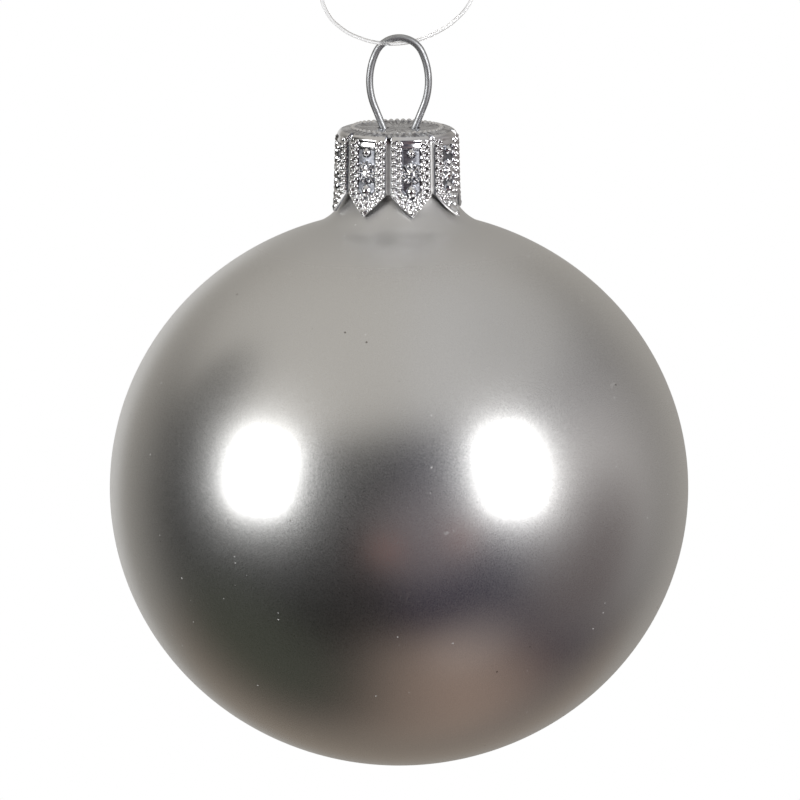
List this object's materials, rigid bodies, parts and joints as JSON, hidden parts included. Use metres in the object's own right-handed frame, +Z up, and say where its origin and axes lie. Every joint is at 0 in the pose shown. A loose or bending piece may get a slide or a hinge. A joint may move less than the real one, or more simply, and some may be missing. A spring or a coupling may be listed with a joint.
{
  "type": "glass ball ornament",
  "caption": "Hanging glass ball in satin silver with a petalled crown cap, sprung wire hanger and clear nylon thread; the ball pulls off its cap.",
  "frame": {"origin": "underside of the wire eye's arch, where a hook or thread bears", "axes": "+Z up, from the ball to the hanger; +X across the wire eye; -Y is the front"},
  "size_m": [0.06, 0.06, 0.1053],
  "materials": {
    "ball": "satin silver lacquer over blown glass",
    "lining": "silvered inside of the glass",
    "cap": "bright stamped sheet",
    "wire": "drawn spring wire",
    "thread": "clear nylon"
  },
  "bodies": {
    "thread": {"hanging_thread": "thread", "thread_knot": "thread"},
    "hanger": {"hanger_loop": "wire", "crown_cap": "cap"},
    "left_leg": {"spring_leg_left": "wire"},
    "right_leg": {"spring_leg_right": "wire"},
    "ball": {"glass_ball": "ball", "silver_lining": "lining"}
  },
  "joints": [
    {"name": "hanger_swing", "type": "hinge", "parent": "thread", "child": "hanger", "pos_m": [0, 0, -0.00024], "axis": [0.866, 0.5, 0], "range_deg": [-35, 35]},
    {"name": "ball_pull", "type": "slide", "parent": "hanger", "child": "ball", "axis": [0, 0, -1], "range_m": [0, 0.024]},
    {"name": "left_leg_squeeze", "type": "hinge", "parent": "hanger", "child": "left_leg", "pos_m": [-0.00128, 0, -0.00989], "axis": [0, -1, 0], "range_deg": [0, 15]},
    {"name": "right_leg_squeeze", "type": "hinge", "parent": "hanger", "child": "right_leg", "pos_m": [0.00128, 0, -0.00989], "axis": [0, 1, 0], "range_deg": [0, 15]}
  ],
  "couplings": [
    {"joint": "left_leg_squeeze", "follows": "ball_pull", "rad_per_m": 10.472},
    {"joint": "right_leg_squeeze", "follows": "ball_pull", "rad_per_m": 10.472}
  ]
}
